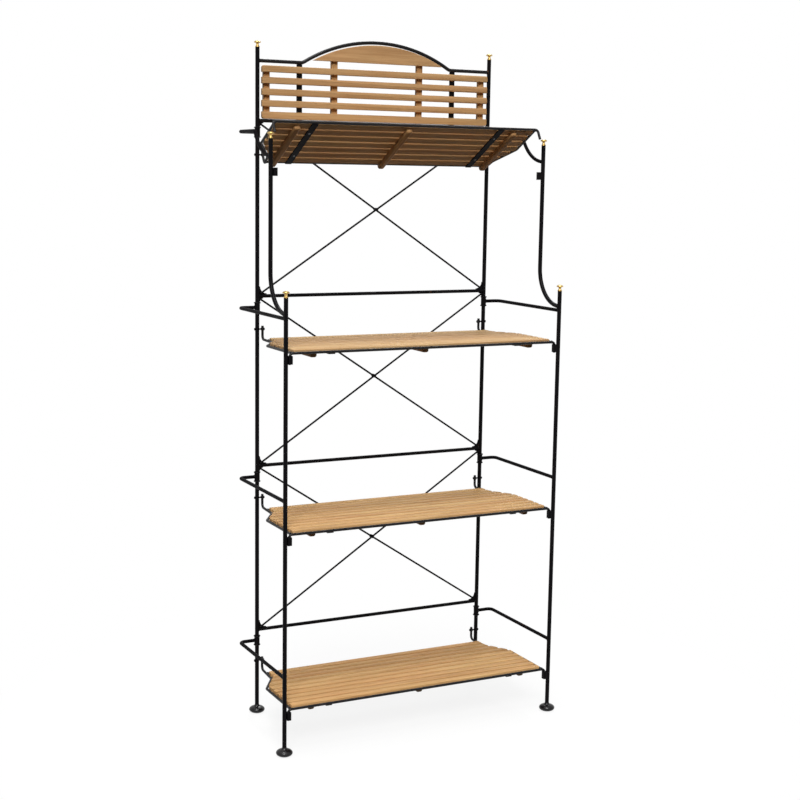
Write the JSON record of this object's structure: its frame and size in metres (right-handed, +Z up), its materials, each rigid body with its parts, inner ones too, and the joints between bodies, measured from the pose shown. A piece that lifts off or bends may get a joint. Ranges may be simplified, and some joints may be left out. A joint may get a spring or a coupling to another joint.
{
  "type": "bakers rack",
  "caption": "Tall folding bakers rack: black iron frame with crossed back braces, slatted teak shelves that swing up, hinged side frames and an arched slatted gallery.",
  "frame": {"origin": "on the floor, in the middle of the four feet", "axes": "+Z up, +X along the shelves to the right as seen from the front, the front faces -Y"},
  "size_m": [0.972, 0.424, 2.1307],
  "materials": {
    "iron": "satin",
    "teak": "oiled",
    "brass": "polished",
    "screws": "zinc"
  },
  "bodies": {
    "rear_frame": {"rear_post_left": "iron", "rear_post_right": "iron", "rear_foot_left": "iron", "rear_foot_right": "iron", "rear_finials": "brass", "lower_back_rail": "iron", "middle_back_rail": "iron", "upper_back_rail": "iron", "gallery_bottom_rail": "iron", "gallery_arch_rail": "iron", "gallery_straps": "iron", "gallery_slats": "teak", "gallery_battens": "teak", "gallery_arch_board": "teak", "gallery_screws": "screws", "lower_brace_rods": "iron", "middle_brace_rods": "iron", "upper_brace_rods": "iron", "brace_rivets": "iron", "corner_gussets": "iron", "hinge_stop_rings": "iron", "pivot_bolts": "iron"},
    "left_side_frame": {"left_lower_leg": "iron", "left_upper_leg": "iron", "left_front_foot": "iron", "left_finials": "brass", "left_hinge_collars": "iron", "left_side_rails": "iron", "left_top_side_rail": "iron", "left_shelf_sleeves": "iron"},
    "right_side_frame": {"right_lower_leg": "iron", "right_upper_leg": "iron", "right_front_foot": "iron", "right_finials": "brass", "right_hinge_collars": "iron", "right_side_rails": "iron", "right_top_side_rail": "iron", "right_shelf_sleeves": "iron"},
    "lower_shelf": {"lower_shelf_frame": "iron", "lower_shelf_straps": "iron", "lower_shelf_slats": "teak", "lower_shelf_battens": "teak", "lower_shelf_screws": "screws"},
    "middle_shelf": {"middle_shelf_frame": "iron", "middle_shelf_straps": "iron", "middle_shelf_slats": "teak", "middle_shelf_battens": "teak", "middle_shelf_screws": "screws"},
    "upper_shelf": {"upper_shelf_frame": "iron", "upper_shelf_straps": "iron", "upper_shelf_slats": "teak", "upper_shelf_battens": "teak", "upper_shelf_screws": "screws"},
    "top_shelf": {"top_shelf_frame": "iron", "top_shelf_straps": "iron", "top_shelf_slats": "teak", "top_shelf_battens": "teak", "top_shelf_screws": "screws"}
  },
  "joints": [
    {"name": "lower_shelf_lift", "type": "hinge", "parent": "rear_frame", "child": "lower_shelf", "pos_m": [0, 0.187, 0.1725], "axis": [-1, 0, 0], "range_deg": [0, 91.5]},
    {"name": "middle_shelf_lift", "type": "hinge", "parent": "rear_frame", "child": "middle_shelf", "pos_m": [0, 0.187, 0.7059], "axis": [-1, 0, 0], "range_deg": [0, 91.5]},
    {"name": "upper_shelf_lift", "type": "hinge", "parent": "rear_frame", "child": "upper_shelf", "pos_m": [0, 0.187, 1.2393], "axis": [-1, 0, 0], "range_deg": [0, 91.5]},
    {"name": "top_shelf_lift", "type": "hinge", "parent": "rear_frame", "child": "top_shelf", "pos_m": [0, 0.187, 1.7727], "axis": [-1, 0, 0], "range_deg": [0, 63]},
    {"name": "left_side_swing", "type": "hinge", "parent": "rear_frame", "child": "left_side_frame", "pos_m": [-0.403, 0.187, 0], "axis": [0, 0, -1], "range_deg": [0, 90]},
    {"name": "right_side_swing", "type": "hinge", "parent": "rear_frame", "child": "right_side_frame", "pos_m": [0.403, 0.187, 0], "axis": [0, 0, 1], "range_deg": [0, 90]}
  ]
}
